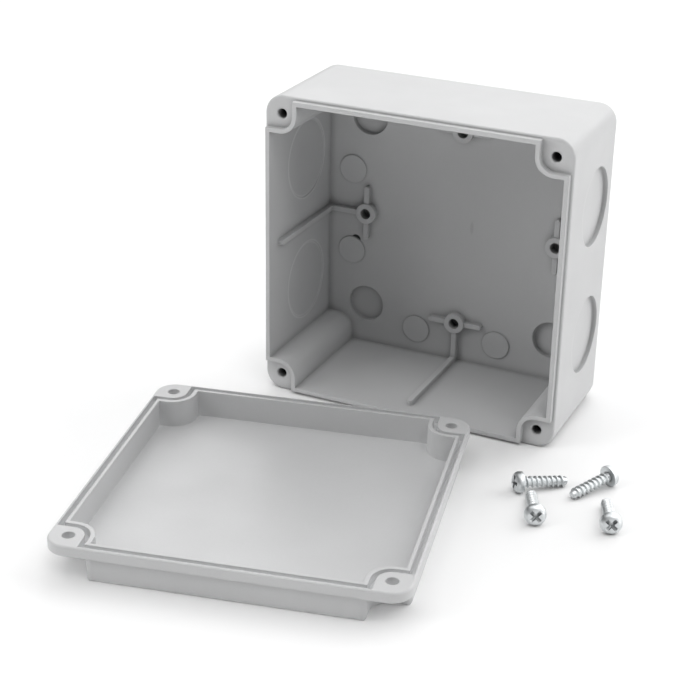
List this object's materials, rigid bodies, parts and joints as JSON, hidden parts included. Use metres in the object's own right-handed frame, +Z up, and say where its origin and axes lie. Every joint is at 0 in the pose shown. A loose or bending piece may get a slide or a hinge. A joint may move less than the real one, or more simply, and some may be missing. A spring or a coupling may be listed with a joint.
{
  "type": "camera junction box",
  "caption": "Square moulded junction box for a wall-mounted camera, body standing on its side, with its screw-down lid and lid screws lying beside it.",
  "frame": {"origin": "middle of the outer side face that the body stands on, halfway along its depth without the rim's tongue", "axes": "+Z up, from the table through the standing body; +Y from the open mouth towards the body's back; the lid and screws lie on the same table towards -Y and +X"},
  "size_m": [0.1526, 0.1745, 0.1],
  "materials": {
    "grey_plastic": "satin light grey moulded ABS",
    "zinc_steel": "bright zinc plate"
  },
  "bodies": {
    "root": {"box_body": "grey_plastic", "lid": "grey_plastic", "lid_screws": "zinc_steel"}
  },
  "joints": []
}
